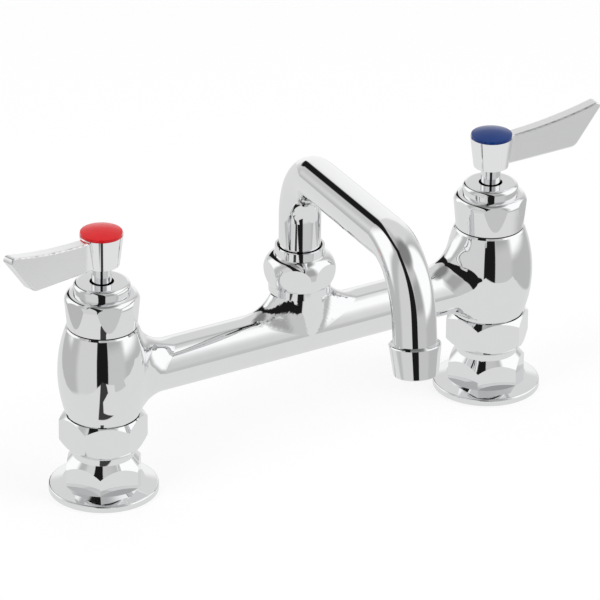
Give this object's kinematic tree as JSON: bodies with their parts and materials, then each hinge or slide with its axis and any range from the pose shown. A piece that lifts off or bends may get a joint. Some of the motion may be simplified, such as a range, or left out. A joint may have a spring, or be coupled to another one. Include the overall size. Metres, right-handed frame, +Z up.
{
  "type": "deck mount swing spout faucet",
  "caption": "Deck mount bridge faucet with a bent swing spout, a lever valve with a coloured button at each end and flanged inlets below.",
  "frame": {"origin": "on the deck, midway between the two inlet flanges", "axes": "+X along the row from the hot valve to the cold valve, -Y towards the user, +Z up from the deck"},
  "size_m": [0.3131, 0.1831, 0.1616],
  "materials": {
    "chrome": "polished chrome plate on brass",
    "satin_chrome": "satin chrome plate on a zinc or brass casting",
    "brass": "machined",
    "steel": "machined",
    "ceramic": "lapped ceramic",
    "rubber": "moulded",
    "nylon": "moulded",
    "hot_button": "glossy red",
    "cold_button": "glossy blue"
  },
  "bodies": {
    "faucet_body": {"bridge_body": "chrome", "spout_nut": "chrome", "swivel_washer": "nylon", "hot_inlet_flange": "chrome", "hot_coupling_nut": "chrome", "hot_union_washer": "rubber", "hot_bonnet": "chrome", "hot_bonnet_gasket": "rubber", "hot_cartridge_body": "brass", "hot_cartridge_ring": "rubber", "hot_seat_seal": "rubber", "hot_fixed_disc": "ceramic", "cold_inlet_flange": "chrome", "cold_coupling_nut": "chrome", "cold_union_washer": "rubber", "cold_bonnet": "chrome", "cold_bonnet_gasket": "rubber", "cold_cartridge_body": "brass", "cold_cartridge_ring": "rubber", "cold_seat_seal": "rubber", "cold_fixed_disc": "ceramic"},
    "spout": {"spout_tube": "chrome", "spout_swivel": "brass", "swivel_rings": "rubber", "outlet_tip": "chrome", "stream_straightener": "nylon", "outlet_washer": "rubber"},
    "hot_handle": {"hot_lever_handle": "satin_chrome", "hot_handle_screw": "steel", "hot_index_button": "hot_button", "hot_stem": "chrome", "hot_stem_ring": "rubber", "hot_stem_clip": "steel", "hot_moving_disc": "ceramic"},
    "cold_handle": {"cold_lever_handle": "satin_chrome", "cold_handle_screw": "steel", "cold_index_button": "cold_button", "cold_stem": "chrome", "cold_stem_ring": "rubber", "cold_stem_clip": "steel", "cold_moving_disc": "ceramic"}
  },
  "joints": [
    {"name": "spout_swing", "type": "hinge", "parent": "faucet_body", "child": "spout", "pos_m": [0, 0, 0.075], "axis": [0, 0, 1], "range_deg": [-53.7, 78.3]},
    {"name": "hot_valve_turn", "type": "hinge", "parent": "faucet_body", "child": "hot_handle", "pos_m": [-0.1016, 0, 0.1], "axis": [0, 0, 1], "range_deg": [0, 90]},
    {"name": "cold_valve_turn", "type": "hinge", "parent": "faucet_body", "child": "cold_handle", "pos_m": [0.1016, 0, 0.1], "axis": [0, 0, 1], "range_deg": [-90, 0]}
  ]
}
